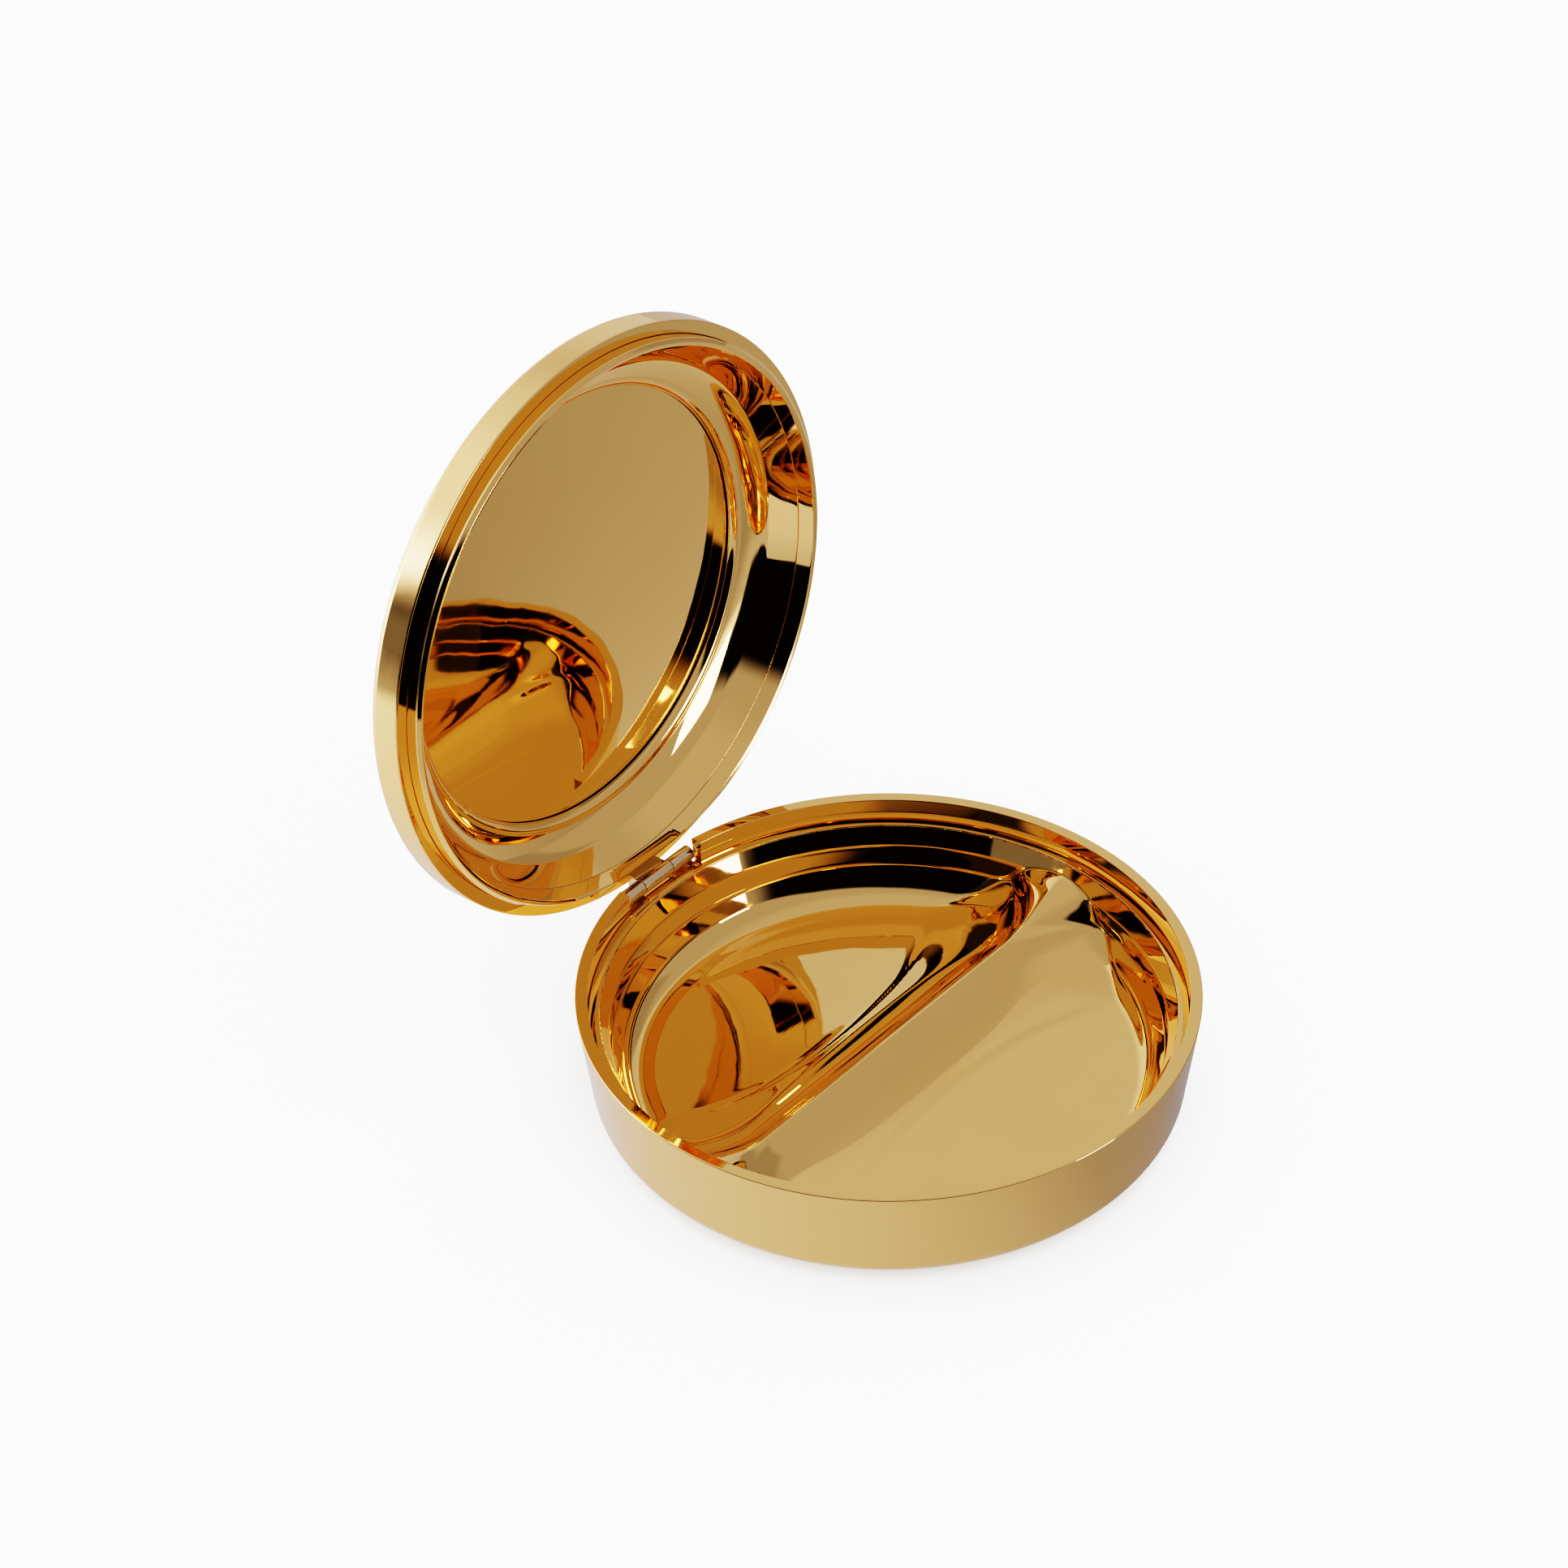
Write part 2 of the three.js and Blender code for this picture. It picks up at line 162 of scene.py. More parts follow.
def supported(points, closed, margin=0.1 * MM):
    """Adds a point near each end of every long straight side, so that shading stays flat there."""
    out = []
    count = len(points)
    for i in range(count if closed else count - 1):
        a, b = Vector(points[i]), Vector(points[(i + 1) % count])
        out.append(tuple(a))
        if (b - a).length > 5 * margin:
            step = (b - a).normalized() * margin
            out += [tuple(a + step), tuple(b - step)]
    if not closed:
        out.append(points[-1])
    return out


# ---- meshes ------------------------------------------------------------------------------------
def new_piece(name, vertices, faces, smooth=True):
    mesh = bpy.data.meshes.new(name)
    mesh.from_pydata([tuple(v) for v in vertices], [], faces)
    mesh.validate()
    mesh.polygons.foreach_set("use_smooth", [smooth] * len(mesh.polygons))
    piece = bpy.data.objects.new(name, mesh)
    bpy.context.scene.collection.objects.link(piece)
    return piece


def turned_faces(rows, columns, closed):
    """Quads of a net of rows round the axis; a closed net also joins its last row to its first."""
    faces = []
    for j in range(rows if closed else rows - 1):
        for k in range(columns):
            a, b = j * columns + k, j * columns + (k + 1) % columns
            c, d = (j + 1) % rows * columns + k, (j + 1) % rows * columns + (k + 1) % columns
            faces.append((a, b, d, c))
    return faces


def turn(name, points, closed=True):
    """Turns an outline about Z. An open outline starts and ends on the axis."""
    points = supported(points, closed)
    if not closed:
        points = points[1:-1]
    rounds = np.linspace(0, FULL_TURN, SEGMENTS, endpoint=False)
    vertices = [(r * math.cos(t), r * math.sin(t), z) for r, z in points for t in rounds]
    faces = turned_faces(len(points), SEGMENTS, closed)
    if not closed:
        last = (len(points) - 1) * SEGMENTS
        low, high = len(vertices), len(vertices) + 1
        vertices += [(0, 0, points[0][1]), (0, 0, points[-1][1])]
        for k in range(SEGMENTS):
            n = (k + 1) % SEGMENTS
            faces += [(low, n, k), (high, last + k, last + n)]
    return new_piece(name, vertices, faces)


def swing_open(piece):
    """Turns a piece that was drawn shut about the hinge line into the open rest pose."""
    move = Matrix.Translation(AXIS) @ Matrix.Rotation(-OPEN, 4, "X") @ Matrix.Translation(-AXIS)
    piece.data.transform(move)
    return piece


# ---- base --------------------------------------------------------------------------------------
def base_case():
    """Spun drum with a tapered wall, rounded foot and turned rim, notched for the hinge."""
    wall = 0.8 * MM
    floor = 1.0 * MM
    inner_low = LOW_WALL - wall
    inner_turn = 4.4 * MM
    points = outline(
        (0, 0), arc(FOOT, LOW_WALL_HEIGHT, LOW_WALL - FOOT, LOW_WALL_HEIGHT, -90, 0, 24),
        (wall_radius(SILL), SILL),
        ("round", (RADIUS, RIM), 0.2 * MM), ("round", (RIM_INSIDE, RIM), 0.12 * MM),
        (RIM_INSIDE, SILL), (RIM_INSIDE, SILL - 0.3 * MM),
        arc(FOOT, inner_turn, inner_low - FOOT, inner_turn - floor, 0, -90, 12), (0, floor))
    piece = turn("case_turned", points, closed=False)
    cut_notch(piece)
    return piece


def wall_radius(z):
    """Radius of the case's outer wall at a height on its taper."""
    return LOW_WALL + (RADIUS - LOW_WALL) * (z - LOW_WALL_HEIGHT) / (RIM - LOW_WALL_HEIGHT)


def cut_notch(piece):
    """Opens the rim for the hinge down to the sill, between two planes across the wall."""
    mesh = bmesh.new()
    mesh.from_mesh(piece.data)
    around = [v for v in mesh.verts
              if v.co.y > 0 and v.co.xy.length > DISH - MM and v.co.z > SILL - 0.5 * MM]
    for side in (-1, 1):
        column = nearest_column(around, side * NOTCH)
        for v in column:
            v.co.y = math.sqrt(v.co.xy.length_squared - NOTCH ** 2)
            v.co.x = side * NOTCH
    small = 0.02 * MM
    gone = [f for f in mesh.faces if abs(f.calc_center_median().x) < NOTCH - small
            and f.calc_center_median().y > 0 and f.calc_center_median().z > SILL + small / 4]
    bmesh.ops.delete(mesh, geom=gone, context="FACES")
    edges = [e for e in mesh.edges if e.is_boundary]
    fill_notch(mesh, edges)
    for edge in [e for e in mesh.edges if e.calc_face_angle(0) > math.radians(50)]:
        edge.smooth = False
    bmesh.ops.recalc_face_normals(mesh, faces=mesh.faces)
    mesh.to_mesh(piece.data)
    mesh.free()


def nearest_column(vertices, x):
    """The vertices of the one radial column that lies nearest a place across the hinge."""
    bearing = math.acos(x / RADIUS)
    step = FULL_TURN / SEGMENTS
    wanted = round(bearing / step) * step
    return [v for v in vertices if abs(math.atan2(v.co.y, v.co.x) - wanted) < step / 4]


def fill_notch(mesh, edges):
    """Closes the open edge of the notch with a sill and two flat cheeks."""
    small = 0.02 * MM
    cheeks = []
    for side in (-1, 1):
        ring = [e for e in edges if all(abs(v.co.x - side * NOTCH) < small for v in e.verts)]
        ends = [v for v in {v for e in ring for v in e.verts} if abs(v.co.z - SILL) < small]
        ends = [v for v in ends if sum(e in ring for e in v.link_edges) == 1]
        cheeks.append(mesh.edges.new(ends))
        bmesh.ops.contextual_create(mesh, geom=ring + [cheeks[-1]])
    level = [e for e in edges
             if all(abs(v.co.z - SILL) < small and abs(v.co.x) < NOTCH + small for v in e.verts)
             and abs(e.verts[0].co.x - e.verts[1].co.x) > small]
    outer = [e for e in level if e.verts[0].co.xy.length > RIM_INSIDE + 0.5 * MM]
    inner = [e for e in level if e not in outer]
    bmesh.ops.bridge_loops(mesh, edges=outer + inner)


def rounded_minimum(a, b, radius):
    """The smaller of two distances, with a round fillet of the given radius between them."""
    ra, rb = np.maximum(radius - a, 0), np.maximum(radius - b, 0)
    return np.maximum(radius, np.minimum(a, b)) - np.hypot(ra, rb)


def dish_air(p):
    """Distance into the air above the dish's face, at points of shape (..., 3)."""
    x, y, z = p[..., 0], p[..., 1], p[..., 2]
    across = np.hypot(y, CREST_ROUND) - CREST_ROUND
    ridge = (z - CREST + across) / math.sqrt(2)
    out = np.clip((np.hypot(x, y) - FLOOR_FLAT) / (FLOOR_EDGE - FLOOR_FLAT), 0, 1)
    floor = rounded_minimum(z - DISH_FLOOR - FLOOR_RISE * out ** 4, ridge, RIDGE_FILLET)
    beside = np.clip((np.abs(y) - 1 * MM) / (17 * MM), 0, 1)
    beside = beside * beside * (3 - 2 * beside)
    up = np.clip((z - DISH_FLOOR) / (RIDGE_END_TOP - DISH_FLOOR), 0, 1)
    fillet = (RIDGE_END_FILLET + (CREASE - RIDGE_END_FILLET) * beside) * (1 - up ** 6)
    return rounded_minimum(wall_air(np.hypot(x, y), z), floor, np.maximum(fillet, 0.01 * MM))


def bend(start, pull, end, steps):
    """Points of a curve from start to end that leaves and arrives in line with the pull point."""
    start, pull, end = np.array(start), np.array(pull), np.array(end)
    t = np.linspace(0, 1, steps + 1)[:, None]
    return [tuple(p) for p in start * (1 - t) ** 2 + 2 * pull * t * (1 - t) + end * t ** 2]


def dish_wall():
    """Outline of the dish's side: a cove, a cone, a steep band and a flare to the ledge."""
    corners = outline(bend((FLOOR_EDGE, DISH_FLOOR + FLOOR_RISE), COVE_BEND, CONE_FOOT, 30),
                      ("round", STEP, STEP_ROUND), ("round", FLARE, STEP_ROUND), (DISH, LEDGE))
    return [p for a, b in zip(corners, corners[1:]) for p in divided(a, b)] + corners[-1:]


def divided(a, b, longest=0.16 * MM):
    """Points from a towards b, evenly spaced and never further apart than the longest step."""
    count = math.ceil(math.dist(a, b) / longest)
    return [tuple(np.array(a) + (np.array(b) - a) * i / count) for i in range(count)]


def wall_air(r, z):
    """Distance into the air in front of the dish's side."""
    radii, heights = np.array(dish_wall()).T
    lean = np.gradient(radii, heights)
    return (np.interp(z, heights, radii) - r) / np.hypot(1, np.interp(z, heights, lean))


def meet_dish(directions):
    """Follows lines from the middle of the mouth until they first meet the dish's face."""
    start = np.array([0, 0, LEDGE])
    near = np.zeros(directions.shape[:-1])
    for stride in (0.5 * MM, 0.05 * MM, 0.005 * MM):
        moving = np.ones(near.shape, bool)
        while moving.any():
            ahead = dish_air(start + directions * (near + stride)[..., None]) > 0
            moving &= ahead
            near = np.where(moving, near + stride, near)
    step = 0.0025 * MM
    for _ in range(12):
        ahead = dish_air(start + directions * (near + step)[..., None]) > 0
        near = np.where(ahead, near + step, near)
        step /= 2
    return start + directions * near[..., None]


def dish_bearings():
    """Bearings of the net's columns, close together along the crest of the ridge."""
    quarter = 0.5 * math.pi * (np.arange(72) / 72) ** 1.6
    half = np.unique(np.concatenate([quarter, [math.pi / 2], math.pi - quarter[1:]]))
    return np.concatenate([half, half + math.pi])


def dish_slopes():
    """Steepness of each ring's lines: the rings are close at the centre and round the cove."""
    drop = LEDGE - DISH_FLOOR
    floor = [(FLOOR_EDGE * (i / 110) ** 1.1, drop) for i in range(1, 110)]
    coves = [(r, LEDGE - z) for r, z in dish_wall()[:-1]]
    return np.array([math.atan2(depth, r) for r, depth in floor + coves + [(DISH, EDGE_ROUND)]])


def divided_dish():
    """Pressed dish in two halves: the polished face, its ledge, and the plain underside."""
    bearings, slopes = dish_bearings(), dish_slopes()
    level = np.cos(slopes)[:, None]
    directions = np.stack([level * np.cos(bearings), level * np.sin(bearings),
                           -np.sin(slopes)[:, None] * np.ones_like(bearings)], axis=-1)
    rings = list(meet_dish(directions))
    rings += ledge_rings(rings[-1])
    columns = len(bearings)
    vertices = np.concatenate(rings)
    top = meet_dish(np.array([[0.0, 0.0, -1.0]]))
    low = np.array([[0, 0, DISH_FLOOR - SHEET]])
    faces = turned_faces(len(rings), columns, closed=False)
    last = (len(rings) - 1) * columns
    for k in range(columns):
        n = (k + 1) % columns
        faces += [(len(vertices), k, n)[::1], (len(vertices) + 1, last + n, last + k)]
    piece = new_piece("dish_pressed", np.concatenate([vertices, top, low]), faces)
    mesh = bmesh.new()
    mesh.from_mesh(piece.data)
    bmesh.ops.recalc_face_normals(mesh, faces=mesh.faces)
    mesh.to_mesh(piece.data)
    mesh.free()
    return piece


def ledge_rings(top_ring):
    """Rings over the dish's rounded edge, across its ledge and down its hidden outside."""
    radii = np.hypot(top_ring[:, 0], top_ring[:, 1])
    unit = top_ring[:, :2] / radii[:, None]
    outside = RIM_INSIDE - HAIRLINE
    spots = [(radii + EDGE_ROUND * (1 - math.cos(t)), LEDGE - EDGE_ROUND * (1 - math.sin(t)))
             for t in np.linspace(0, math.pi / 2, 6)[1:]]
    spots += [(0 * radii + r, z) for r, z in (
        (DISH + 0.3 * MM, LEDGE), (outside - 0.1 * MM, LEDGE), (outside, LEDGE - 0.1 * MM),
        (outside, LEDGE - 0.8 * MM), (42.0 * MM, 4.6 * MM), (36.8 * MM, DISH_FLOOR - SHEET))]
    return [np.column_stack([unit * r[:, None], 0 * r + z]) for r, z in spots]


# ---- lid, drawn shut -----------------------------------------------------------------------------
def above_rim(*points):
    """Outline points of the lid, given with heights above its rim."""
    return [(r, LID_RIM + h) for r, h in points]


def lid_shell():
    """Spun outer shell: straight wall, soft shoulder, flat crown and the disc inside."""
    inside = RIM_INSIDE - 0.16 * MM
    points = outline(
        ("round", (inside, LID_RIM), 0.1 * MM), ("round", (RADIUS, LID_RIM), 0.2 * MM),
        above_rim(*arc(CROWN_FLAT, LID_WALL, RADIUS - CROWN_FLAT, LID_CROWN - LID_WALL, 0, 90, 40)),
        above_rim((0, LID_CROWN)), swollen_disc(),
        above_rim(*arc(DISC, LID_WALL, inside - DISC, DISC_DEPTH - LID_WALL, 90, 0, 16)))
    return turn_through_axis("shell_spun", points)


def swollen_disc(steps=80):
    """The disc inside the lid, from its centre out to its edge."""
    across = [i / steps for i in range(steps)]
    return above_rim(*[(DISC * a, DISC_DEPTH - DISC_SWELL * (1 - a * a)) for a in across])


def turn_through_axis(name, points):
    """Turns a closed outline of which two points lie on the axis."""
    on_axis = [i for i, (r, _) in enumerate(points) if r < 1e-9]
    first = on_axis[-1]
    opened = points[first:] + points[:first]
    return turn(name, opened, closed=False)


def lid_liner():
    """Ring inside the lid: a cone and a cove, ending in a rolled edge round the disc."""
    outside = RIM_INSIDE - 0.3 * MM
    roll = DISC_DEPTH - HAIRLINE - COVE_DEPTH
    points = outline(
        above_rim((LIP_INSIDE, 0.02 * MM), (outside, 0.9 * MM)),
        above_rim(*arc(DISC, LID_WALL, outside - DISC, DISC_DEPTH - 0.3 * MM - LID_WALL, 0, 90, 12)),
        above_rim(*arc(COVE, COVE_DEPTH + roll, COVE - DISC, roll, 180, 270, 12)[1:]),
        above_rim(*bend((COVE, COVE_DEPTH), COVE_PULL, CONE, 40)[1:]))
    return turn("liner_turned", points)


def lid_lip():
    """Turned ring that plugs into the base, with a flared inside and a relief near the hinge."""
    outside = LIP_OUTSIDE + 0.05 * MM
    middle = (LIP_INSIDE + outside) / 2
    points = outline(
        ("round", (LIP_INSIDE + LIP_LEAN, LID_RIM - LIP_DROP + 0.25 * MM), 0.2 * MM),
        ("round", (middle + LIP_LEAN / 2, LID_RIM - LIP_DROP), 0.2 * MM),
        ("round", (outside, LID_RIM - LIP_DROP + 0.45 * MM), 0.25 * MM),
        (outside, LID_RIM + 0.8 * MM), (LIP_INSIDE, LID_RIM))
    piece = turn("lip_turned", points)
    for v in piece.data.vertices:
        v.co = relieved(v.co)
    return piece


def relieved(point):
    """Moves a point of the lip out of the space that the base's rim sweeps through."""
    if point.y < 0 or abs(point.x) > 27 * MM or point.z > LID_RIM:
        return point
    inward = math.sqrt(RIM_INSIDE ** 2 - point.x ** 2) - AXIS.y
    clear = math.hypot(inward, RIM - AXIS.z) + 0.3 * MM
    spoke = Vector((0, point.y - AXIS.y, point.z - AXIS.z))
    if spoke.length >= clear:
        return point
    return Vector((point.x, AXIS.y, AXIS.z)) + spoke.normalized() * clear


# ---- hinge -------------------------------------------------------------------------------------
def drawn_bar(name, section, x0, x1, bore=None, edge=0.09 * MM):
    """A bar along X with a (y, z) section about the hinge line, softened ends and a bore."""
    curve = bpy.data.curves.new(name, "CURVE")
    curve.dimensions = "2D"
    curve.fill_mode = "BOTH"
    curve.extrude = (x1 - x0) / 2 - edge
    curve.bevel_depth = edge
    curve.bevel_resolution = 3
    curve.offset = -edge
    loops = [section]
    if bore:
        loops.append([(bore * math.cos(t), bore * math.sin(t)) for t in turns(40)])
    for loop in loops:
        spline = curve.splines.new("POLY")
        spline.points.add(len(loop) - 1)
        spline.use_cyclic_u = True
        for point, (y, z) in zip(spline.points, loop):
            point.co = (y, z, 0, 1)
    holder = bpy.data.objects.new(name, curve)
    bpy.context.scene.collection.objects.link(holder)
    mesh = bpy.data.meshes.new_from_object(holder.evaluated_get(bpy.context.evaluated_depsgraph_get()))
    bpy.data.objects.remove(holder)
    place = Matrix(((0, 0, 1, (x0 + x1) / 2), (1, 0, 0, AXIS.y), (0, 1, 0, AXIS.z), (0, 0, 0, 1)))
    mesh.transform(place)
    mesh.name = name
    piece = bpy.data.objects.new(name, mesh)
    bpy.context.scene.collection.objects.link(piece)
    for polygon in mesh.polygons:
        polygon.use_smooth = abs(polygon.normal.x) < 0.99
    return piece


def turns(count):
    return np.linspace(0, FULL_TURN, count, endpoint=False)


def base_knuckle(name, x0, x1):
    """Tube with a foot down to the sill."""
    foot = SILL - AXIS.z + 0.01 * MM
    round_part = [(KNUCKLE * math.cos(t), KNUCKLE * math.sin(t))
                  for t in np.radians(np.linspace(-68, 246, 60))]
    section = round_part + [(-1.1 * MM, foot), (0.45 * MM, foot)]
    return drawn_bar(name, section, x0, x1, bore=PIN + 0.05 * MM)


def lid_knuckle():
    """Tube with a leaf up to the lid's rim, flush on the outside as the lid's stop."""
    leaf = LID_RIM - AXIS.z - 0.01 * MM
    round_part = [(KNUCKLE * math.cos(t), KNUCKLE * math.sin(t))
                  for t in np.radians(np.linspace(146, 360, 44))]
    section = round_part + [(KNUCKLE, leaf), (-1.0 * MM, leaf)]
    half = LID_KNUCKLE + 0.06 * MM
    return drawn_bar("knuckle_lid_tube", section, -half, half, bore=PIN + 0.05 * MM)


def hinge_pin():
    """Pin through the knuckles, with a domed head on each end."""
    dome = PIN_END - KNUCKLE_END
    ring = arc(0, 0, PIN, dome, 0, 90, 8)
    points = [(r, -KNUCKLE_END - h) for r, h in reversed(ring)] + [(r, KNUCKLE_END + h) for r, h in ring]
    piece = turn("pin_domed", points, closed=False)
    piece.data.transform(Matrix.Translation((0, AXIS.y, AXIS.z)) @ Matrix.Rotation(math.pi / 2, 4, "Y"))
    return piece


# ---- materials -----------------------------------------------------------------------------------
def metal(name, colour, roughness):
    """A metal with its plain numbers set on the shader."""
    material = bpy.data.materials.new(name)
    material.use_nodes = True
    shader = material.node_tree.nodes["Principled BSDF"]
    shader.inputs["Metallic"].default_value = 1
    shader.inputs["Base Color"].default_value = (*colour, 1)
    shader.inputs["Roughness"].default_value = roughness
    return material


def node(material, kind, **settings):
    made = material.node_tree.nodes.new(kind)
    for name, value in settings.items():
        if name in made.inputs:
            made.inputs[name].default_value = value
        else:
            setattr(made, name, value)
    return made


def join(material, source, output, target, socket):
    material.node_tree.links.new(source.outputs[output], target.inputs[socket])


def noise(material, scale, detail=2.0, stretch=(1, 1, 1)):
    """Noise in the object's own space, in waves per metre."""
    place = node(material, "ShaderNodeTexCoord")
    squeeze = node(material, "ShaderNodeMapping", Scale=stretch)
    pattern = node(material, "ShaderNodeTexNoise", Scale=scale, Detail=detail)
    join(material, place, "Object", squeeze, "Vector")
    join(material, squeeze, "Vector", pattern, "Vector")
    return pattern


def ramp(material, source, low, high, start, end):
    """Maps a pattern's range from start to end onto low to high."""
    spread = node(material, "ShaderNodeMapRange")
    for name, value in (("From Min", start), ("From Max", end), ("To Min", low), ("To Max", high)):
        spread.inputs[name].default_value = value
    join(material, source, 0, spread, "Value")
    return spread


def add_ripples(material, waves):
    """Chains bumps: each wave is (scale per metre, height in metres, stretch)."""
    shader = material.node_tree.nodes["Principled BSDF"]
    previous = None
    for scale, height, stretch in waves:
        bump = node(material, "ShaderNodeBump", Strength=1.0, Distance=height)
        join(material, noise(material, scale, 1.0, stretch), 0, bump, "Height")
        if previous:
            join(material, previous, "Normal", bump, "Normal")
        previous = bump
    join(material, previous, "Normal", shader, "Normal")


def polished_gold():
    """Gold plate over hand-polished brass: mirror finish, slow ripples and faint wiping marks."""
    material = metal("gold_plate", (0.99, 0.635, 0.24), 0.03)
    shader = material.node_tree.nodes["Principled BSDF"]
    add_ripples(material, (
        (60, 0.07 * MM, (1, 1, 1)),
        (190, 0.012 * MM, (1, 1, 1)),
        (900, 0.0003 * MM, (1, 6, 1)),
    ))
    wipes = noise(material, 160, 4.0, (1, 5, 1))
    join(material, ramp(material, wipes, 0.022, 0.05, 0.45, 0.75), "Result", shader, "Roughness")
    tint = node(material, "ShaderNodeMix", data_type="RGBA")
    tint.inputs[6].default_value = (1.0, 0.645, 0.25, 1)
    tint.inputs[7].default_value = (0.98, 0.625, 0.235, 1)
    join(material, ramp(material, noise(material, 35, 2.0), 0, 1, 0.35, 0.65), "Result", tint, 0)
    join(material, tint, 2, shader, "Base Color")
    return material


def pale_tube():
    """Paler drawn tube of the hinge, with drawing lines along it and a softer gloss."""
    material = metal("hinge_metal", (0.8, 0.62, 0.36), 0.1)
    shader = material.node_tree.nodes["Principled BSDF"]
    add_ripples(material, ((2600, 0.002 * MM, (0.05, 1, 1)),))
    wear = noise(material, 700, 3.0, (0.2, 1, 1))
    join(material, ramp(material, wear, 0.08, 0.2, 0.35, 0.7), "Result", shader, "Roughness")
    return material


# ---- camera ----------------------------------------------------------------------------------------
CAMERA_PLACE = Vector((-0.4333, -0.3533, 0.4943))
CAMERA_AIM = Vector((0.0078, 0.0257, 0.0367))
CAMERA_ROLL = math.radians(-1.07)
CAMERA_LENS = 117.66
CAMERA_SENSOR = 36


def add_camera():
    data = bpy.data.cameras.new("camera")
    data.sensor_width = CAMERA_SENSOR
    data.lens = CAMERA_LENS
    data.clip_start = 0.01
    camera = bpy.data.objects.new("camera", data)
    bpy.context.scene.collection.objects.link(camera)
    look = (CAMERA_AIM - CAMERA_PLACE).to_track_quat("-Z", "Y").to_matrix().to_4x4()
    camera.matrix_world = Matrix.Translation(CAMERA_PLACE) @ look @ Matrix.Rotation(CAMERA_ROLL, 4, "Z")
    bpy.context.scene.camera = camera


# ---- studio ----------------------------------------------------------------------------------------
# The studio is a set of soft panels and dark cloths, seen only in the metal. Bearings are in degrees
# from +X towards +Y, and a brightness of 1 is close to white.
STUDIO_REACH = 3.0
STUDIO_TINT = (1, 0.95, 1.08, 1)        # very slightly rosy
LOW_LAMP_GLOW = 8.0


def soft_step(value, edge, width):
    """0 below the edge, 1 above it, with a soft change of the given width."""
    t = np.clip((value - edge) / width + 0.5, 0, 1)
    return t * t * (3 - 2 * t)


def between(value, low, high, width):
    """1 between two edges, 0 outside them, with soft changes."""
    return soft_step(value, low, width) * (1 - soft_step(value, high, width))


def blend(glow, value, mask):
    """Goes from a brightness to another value where the mask is 1."""
    return glow + (value - glow) * mask


def wall_glow(bearing, height):
    """Brightness of the surroundings by bearing and by height above the horizon, in degrees."""
    glow = 0.39 + 0.08 * soft_step(height, 58, 24)
    glow = blend(glow, 0.28, between(bearing, -33, 4, 8) * (1 - soft_step(height, 34, 14)))
    panel = 0.48 + 0.5 * np.clip(bearing / 90, 0, 1) + 3.6 * np.clip((bearing - 80) / 45, 0, 1) ** 2
    panel = blend(panel, 0.56 + 0.66 * np.clip((bearing - 52) / 50, 0, 1), soft_step(height, 28, 24))
    glow = blend(glow, panel, between(bearing, 0, 136, 5) * (1 - soft_step(height, 58, 30)))
    cloth_top = np.interp(bearing, (-180, -140, -110, -88, 137, 150, 165), (40, 38, 28, 8, 14, 18, 40))
    cloth = 1 - soft_step(height, cloth_top, 9)
    glow = blend(glow, 0.005, between(bearing, -190, -86, 4) * cloth)
    return blend(glow, 0.03 + 0.15 * (1 - soft_step(height, 12, 10)), soft_step(bearing, 138, 4) * cloth)


def floor_glow(bearing, reach):
    """Brightness of the floor as the metal sees it, by bearing and by distance in metres."""
    front = -reach * np.sin(np.radians(bearing))
    glow = np.interp(bearing, (-180, -150, -120, -90, -60, 0, 50, 110, 180),
                     (0.72, 0.62, 0.5, 0.32, 0.29, 0.42, 0.53, 0.85, 0.72))
    glow = blend(glow, 0.5, between(bearing, -170, -70, 20) * soft_step(reach, 0.085, 0.05))
    bright = np.clip(0.8 + 4.5 * (reach - 0.07), 0.8, 3.5)
    glow = blend(glow, bright, between(bearing, 55, 138, 20))
    cloth = soft_step(front, 0.133, 0.006) * (1 - soft_step(bearing, -84, 4))
    glow = blend(glow, 0.005, cloth)
    glow = blend(glow, 1.6, between(bearing, -84, -66, 6) * soft_step(reach, 0.22, 0.1))
    return blend(glow, 0.08, soft_step(bearing, 138, 10) * soft_step(reach, 0.32, 0.12))


def add_low_lamp():
    """A small bright panel that stands on the floor in front of the box."""
    away, turned = 0.32, math.radians(-75)
    middle = Vector((away * math.cos(turned), away * math.sin(turned), 0))
    aside = Vector((-math.sin(turned), math.cos(turned), 0)) * 0.04
    top = Vector((0, 0, 0.1))
    panel = new_piece("low_lamp", [middle - aside, middle + aside, middle + aside + top,
                                   middle - aside + top], [(0, 1, 2, 3)], smooth=False)
    panel.data.attributes.new("glow", "FLOAT", "POINT").data.foreach_set("value", [LOW_LAMP_GLOW] * 4)
    panel.data.materials.append(glowing("lamp_glow"))
    show_only(panel, glossy=True)


def glowing(name):
    """A surface that shines with its own glow attribute."""
    material = bpy.data.materials.new(name)
    material.use_nodes = True
    nodes, links = material.node_tree.nodes, material.node_tree.links
    nodes.clear()
    shine, level = nodes.new("ShaderNodeEmission"), nodes.new("ShaderNodeAttribute")
    level.attribute_name = "glow"
    shine.inputs["Color"].default_value = STUDIO_TINT
    links.new(level.outputs["Fac"], shine.inputs["Strength"])
    links.new(shine.outputs[0], nodes.new("ShaderNodeOutputMaterial").inputs["Surface"])
    material.cycles.emission_sampling = "NONE"
    return material


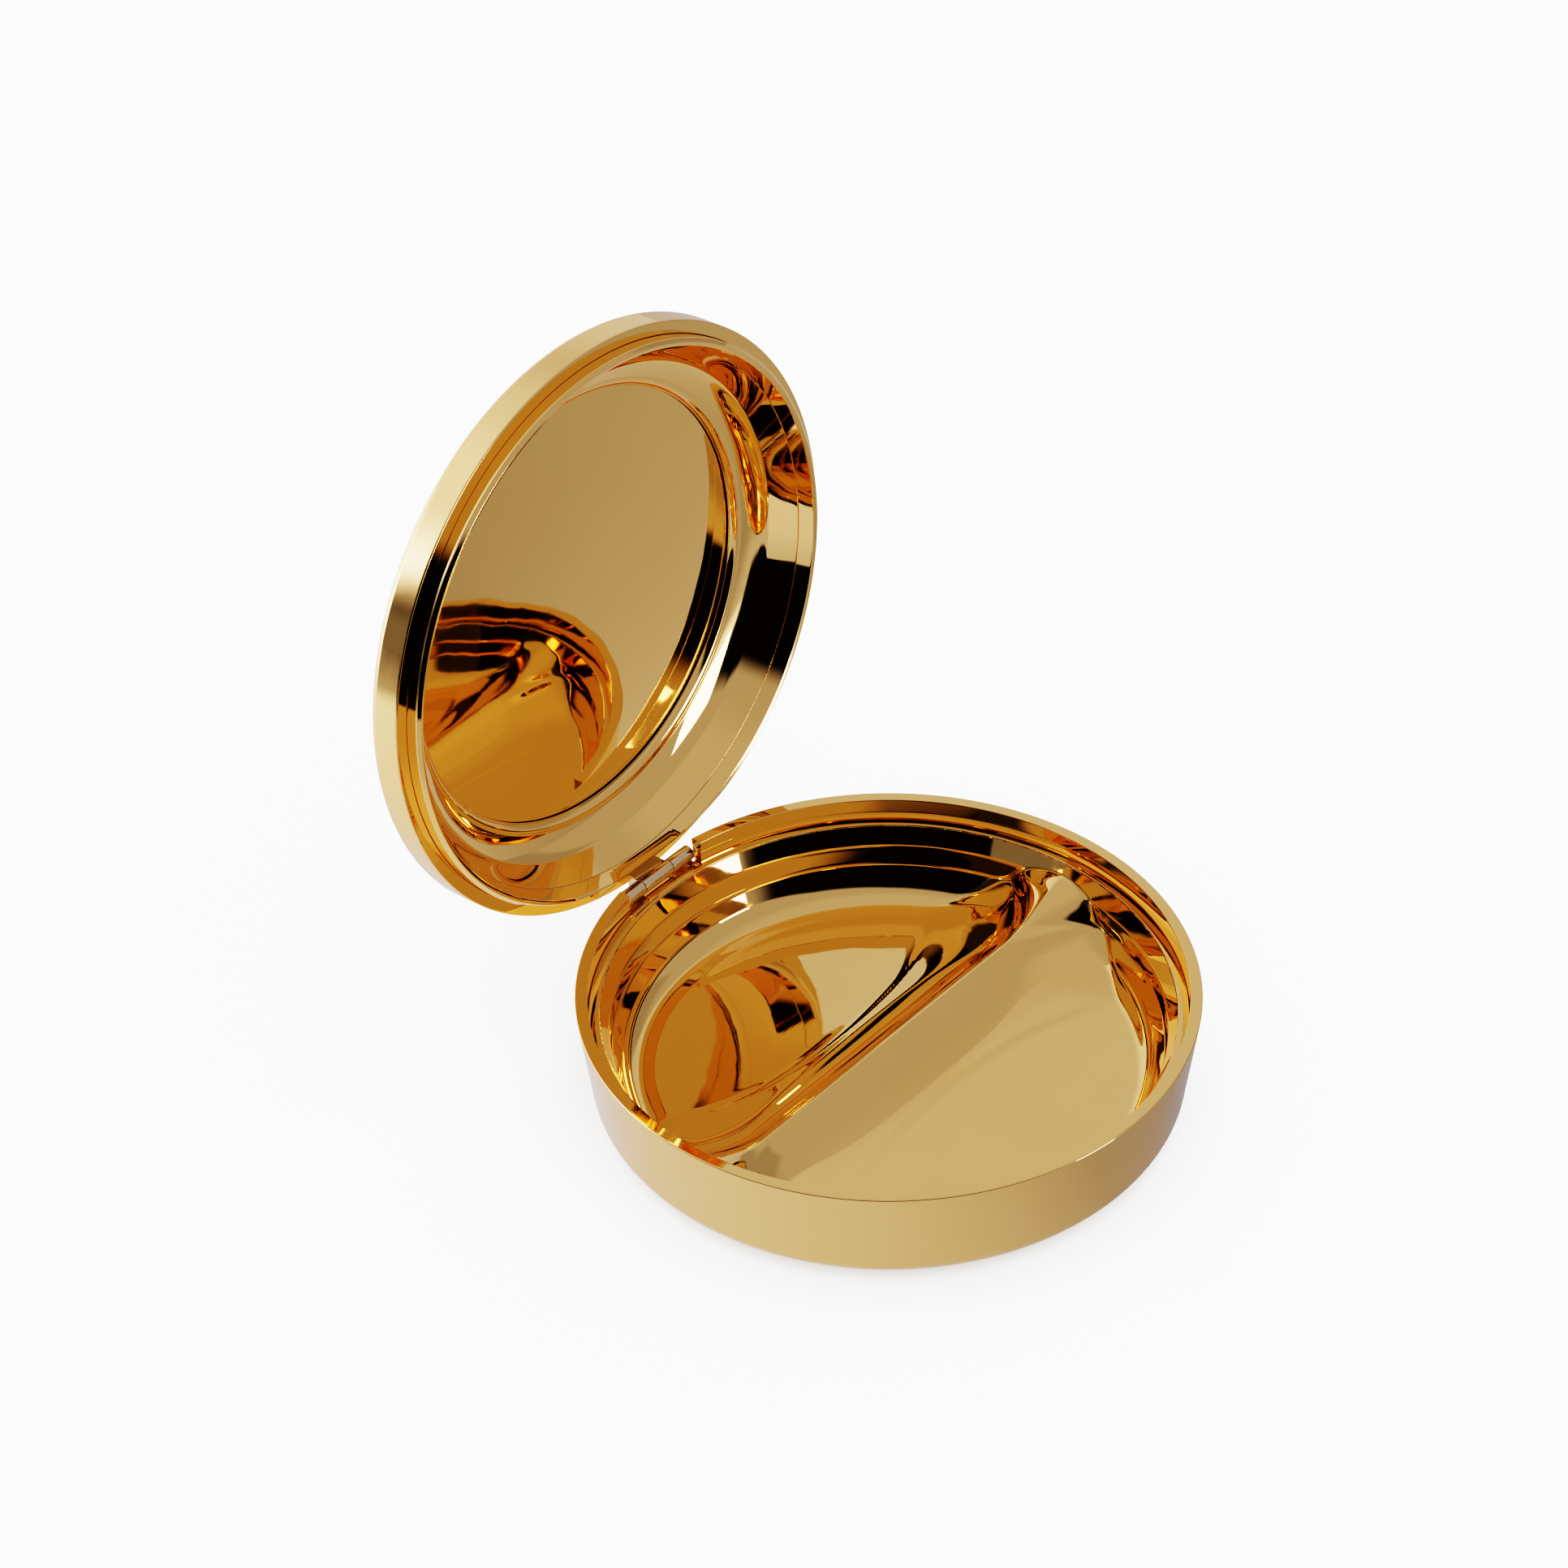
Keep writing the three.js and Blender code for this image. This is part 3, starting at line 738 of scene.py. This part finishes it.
def add_studio():
    """Walls, ceiling and floor of the studio as the metal sees them."""
    columns = 360
    bearing = np.linspace(-180, 180, columns, endpoint=False) + 0.5
    heights = np.concatenate([np.linspace(0, 60, 61), np.linspace(62, 89.9, 15)])
    reaches = STUDIO_REACH * np.linspace(0.01, 1, 90) ** 3
    rows, glows = [], []
    level = -1 * MM
    for reach in reaches:
        rows.append((reach, level))
        glows.append(floor_glow(bearing, reach))
    for height in heights:
        up = math.radians(height)
        rows.append((STUDIO_REACH * math.cos(up), STUDIO_REACH * math.sin(up)))
        glows.append(wall_glow(bearing, height))
    turns_round = np.radians(bearing)
    vertices = [(r * math.cos(t), r * math.sin(t), z) for r, z in rows for t in turns_round]
    last = len(vertices) - columns
    foot, crown = len(vertices), len(vertices) + 1
    vertices += [(0, 0, level), (0, 0, STUDIO_REACH)]
    faces = turned_faces(len(rows), columns, closed=False)
    for k in range(columns):
        n = (k + 1) % columns
        faces += [(foot, k, n), (crown, last + n, last + k)]
    studio = new_piece("studio", vertices, faces, smooth=False)
    glow = studio.data.attributes.new("glow", "FLOAT", "POINT")
    glow.data.foreach_set("value", np.concatenate(glows + [[0.5, glows[-1][0]]]))
    studio.data.materials.append(glowing("studio_glow"))
    show_only(studio, glossy=True)


def show_only(thing, camera=False, diffuse=False, glossy=False, shadow=False):
    """Limits which rays meet a thing."""
    thing.visible_camera = camera
    thing.visible_diffuse = diffuse
    thing.visible_glossy = glossy
    thing.visible_transmission = False
    thing.visible_volume_scatter = False
    thing.visible_shadow = shadow


def add_floor():
    """A plain pale floor."""
    reach = 6.0
    corners = [(x * reach, y * reach, 0) for x, y in ((-1, -1), (1, -1), (1, 1), (-1, 1))]
    floor = new_piece("floor", corners, [(0, 1, 2, 3)], smooth=False)
    material = bpy.data.materials.new("floor")
    material.use_nodes = True
    shader = material.node_tree.nodes["Principled BSDF"]
    shader.inputs["Base Color"].default_value = (0.9, 0.9, 0.9, 1)
    shader.inputs["Roughness"].default_value = 1
    shader.inputs["Specular IOR Level"].default_value = 0
    floor.data.materials.append(material)
    show_only(floor, camera=True, diffuse=True, shadow=True)


def add_light():
    """Even soft light from all round, and a broad lamp above that grounds the box on the floor."""
    world = bpy.data.worlds.new("daylight")
    bpy.context.scene.world = world
    world.use_nodes = True
    world.node_tree.nodes["Background"].inputs["Color"].default_value = (1, 1, 1, 1)
    world.node_tree.nodes["Background"].inputs["Strength"].default_value = 4.0
    lamp = bpy.data.lights.new("overhead", "AREA")
    lamp.size = 1.2
    lamp.energy = 40
    holder = bpy.data.objects.new("overhead", lamp)
    holder.location = (0.1, 0.2, 1.5)
    bpy.context.scene.collection.objects.link(holder)
    show_only(holder, diffuse=True)
    bpy.context.scene.view_settings.view_transform = "Filmic"
    bpy.context.scene.view_settings.look = "Very High Contrast"


# ---- assembly ------------------------------------------------------------------------------------
def finish_piece(piece, node, body, material):
    piece.data.materials.clear()
    piece.data.materials.append(material)
    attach(piece, body)
    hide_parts(node)


def build():
    gold, tube = polished_gold(), pale_tube()
    seam = 0.06 * MM
    start = LID_KNUCKLE + seam + HAIRLINE * 2
    finish_piece(base_case(), "base_case", "base", gold)
    finish_piece(divided_dish(), "divided_dish", "base", gold)
    finish_piece(base_knuckle("knuckle_left_tube", -KNUCKLE_END, -start),
                 "hinge_knuckle_left", "base", tube)
    finish_piece(base_knuckle("knuckle_right_tube", start, KNUCKLE_END),
                 "hinge_knuckle_right", "base", tube)
    finish_piece(hinge_pin(), "hinge_pin", "base", tube)
    finish_piece(swing_open(lid_shell()), "lid_shell", "lid", gold)
    finish_piece(swing_open(lid_liner()), "lid_liner", "lid", gold)
    finish_piece(swing_open(lid_lip()), "lid_lip", "lid", gold)
    finish_piece(swing_open(lid_knuckle()), "hinge_knuckle_lid", "lid", tube)


add_camera()
build()
add_studio()
add_low_lamp()
add_floor()
add_light()
